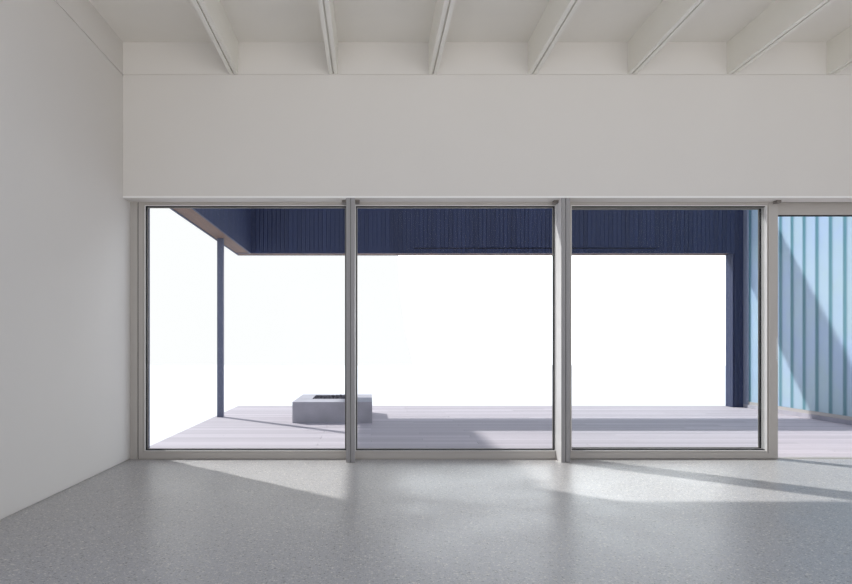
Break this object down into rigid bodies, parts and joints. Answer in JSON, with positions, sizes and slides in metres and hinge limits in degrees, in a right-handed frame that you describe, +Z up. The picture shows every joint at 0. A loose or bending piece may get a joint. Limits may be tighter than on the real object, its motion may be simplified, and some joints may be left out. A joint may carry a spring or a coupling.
{
  "type": "beach house glazed front with porch",
  "caption": "End of a living room with a joisted ceiling, glazed wall and sliding glass door, open on a deck with a dark beam frame, fire pit and channel-glass screen.",
  "frame": {"origin": "on the ground, midway between the side walls, under the room-side face of the front wall", "axes": "+X to the right seen from the room, +Y out towards the sea, +Z up"},
  "size_m": [9.065, 9.55, 4.35],
  "materials": {
    "terrazzo": "polished, lightly speckled",
    "plaster": "matt painted plaster",
    "dark_boards": "dark stained vertical boards",
    "roof": "matt membrane above, white paint below",
    "painted_timber": "satin white paint",
    "coping": "matt painted sheet",
    "aluminium": "satin anodised",
    "window_glass": "clear",
    "steel": "satin",
    "deck_timber": "weathered silver-grey",
    "post_paint": "satin paint",
    "soffit_boards": "weathered",
    "lamp_cover": "matt",
    "concrete": "cast, fair-faced",
    "gravel": "rough",
    "channel_glass": "translucent, rolled"
  },
  "bodies": {
    "house": {"floor_slab": "terrazzo", "left_wall": "plaster", "right_wall": "plaster", "header_wall": "plaster", "right_pier": "plaster", "left_cladding": "dark_boards", "right_cladding": "dark_boards", "front_cladding": "dark_boards", "corner_cladding": "dark_boards", "roof_deck": "roof", "roof_joists": "painted_timber", "roof_coping": "coping", "sill_track": "aluminium", "head_frame": "aluminium", "left_jamb": "aluminium", "right_jamb": "aluminium", "mullions": "aluminium", "coupling_post": "aluminium", "door_head_rail": "aluminium", "fixed_sash_1": "aluminium", "fixed_sash_2": "aluminium", "fixed_sash_3": "aluminium", "fixed_glass_1": "window_glass", "fixed_glass_2": "window_glass", "fixed_glass_3": "window_glass", "deck_frame": "deck_timber", "deck_boards": "deck_timber", "left_beam": "dark_boards", "front_beam": "dark_boards", "right_leg": "dark_boards", "porch_post": "post_paint", "beam_soffits": "soffit_boards", "light_strip": "lamp_cover", "beam_coping": "coping", "fire_pit": "concrete", "fire_bed": "gravel", "screen_curb": "concrete", "screen_rails": "aluminium", "screen_glass": "channel_glass", "screen_posts": "post_paint"},
    "door_leaf": {"leaf_frame": "aluminium", "leaf_edge": "aluminium", "leaf_glass": "window_glass", "leaf_rollers": "steel", "leaf_pull": "steel"}
  },
  "joints": [
    {"name": "door_slide", "type": "slide", "parent": "house", "child": "door_leaf", "axis": [1, 0, 0], "range_m": [0, 1.93]}
  ]
}
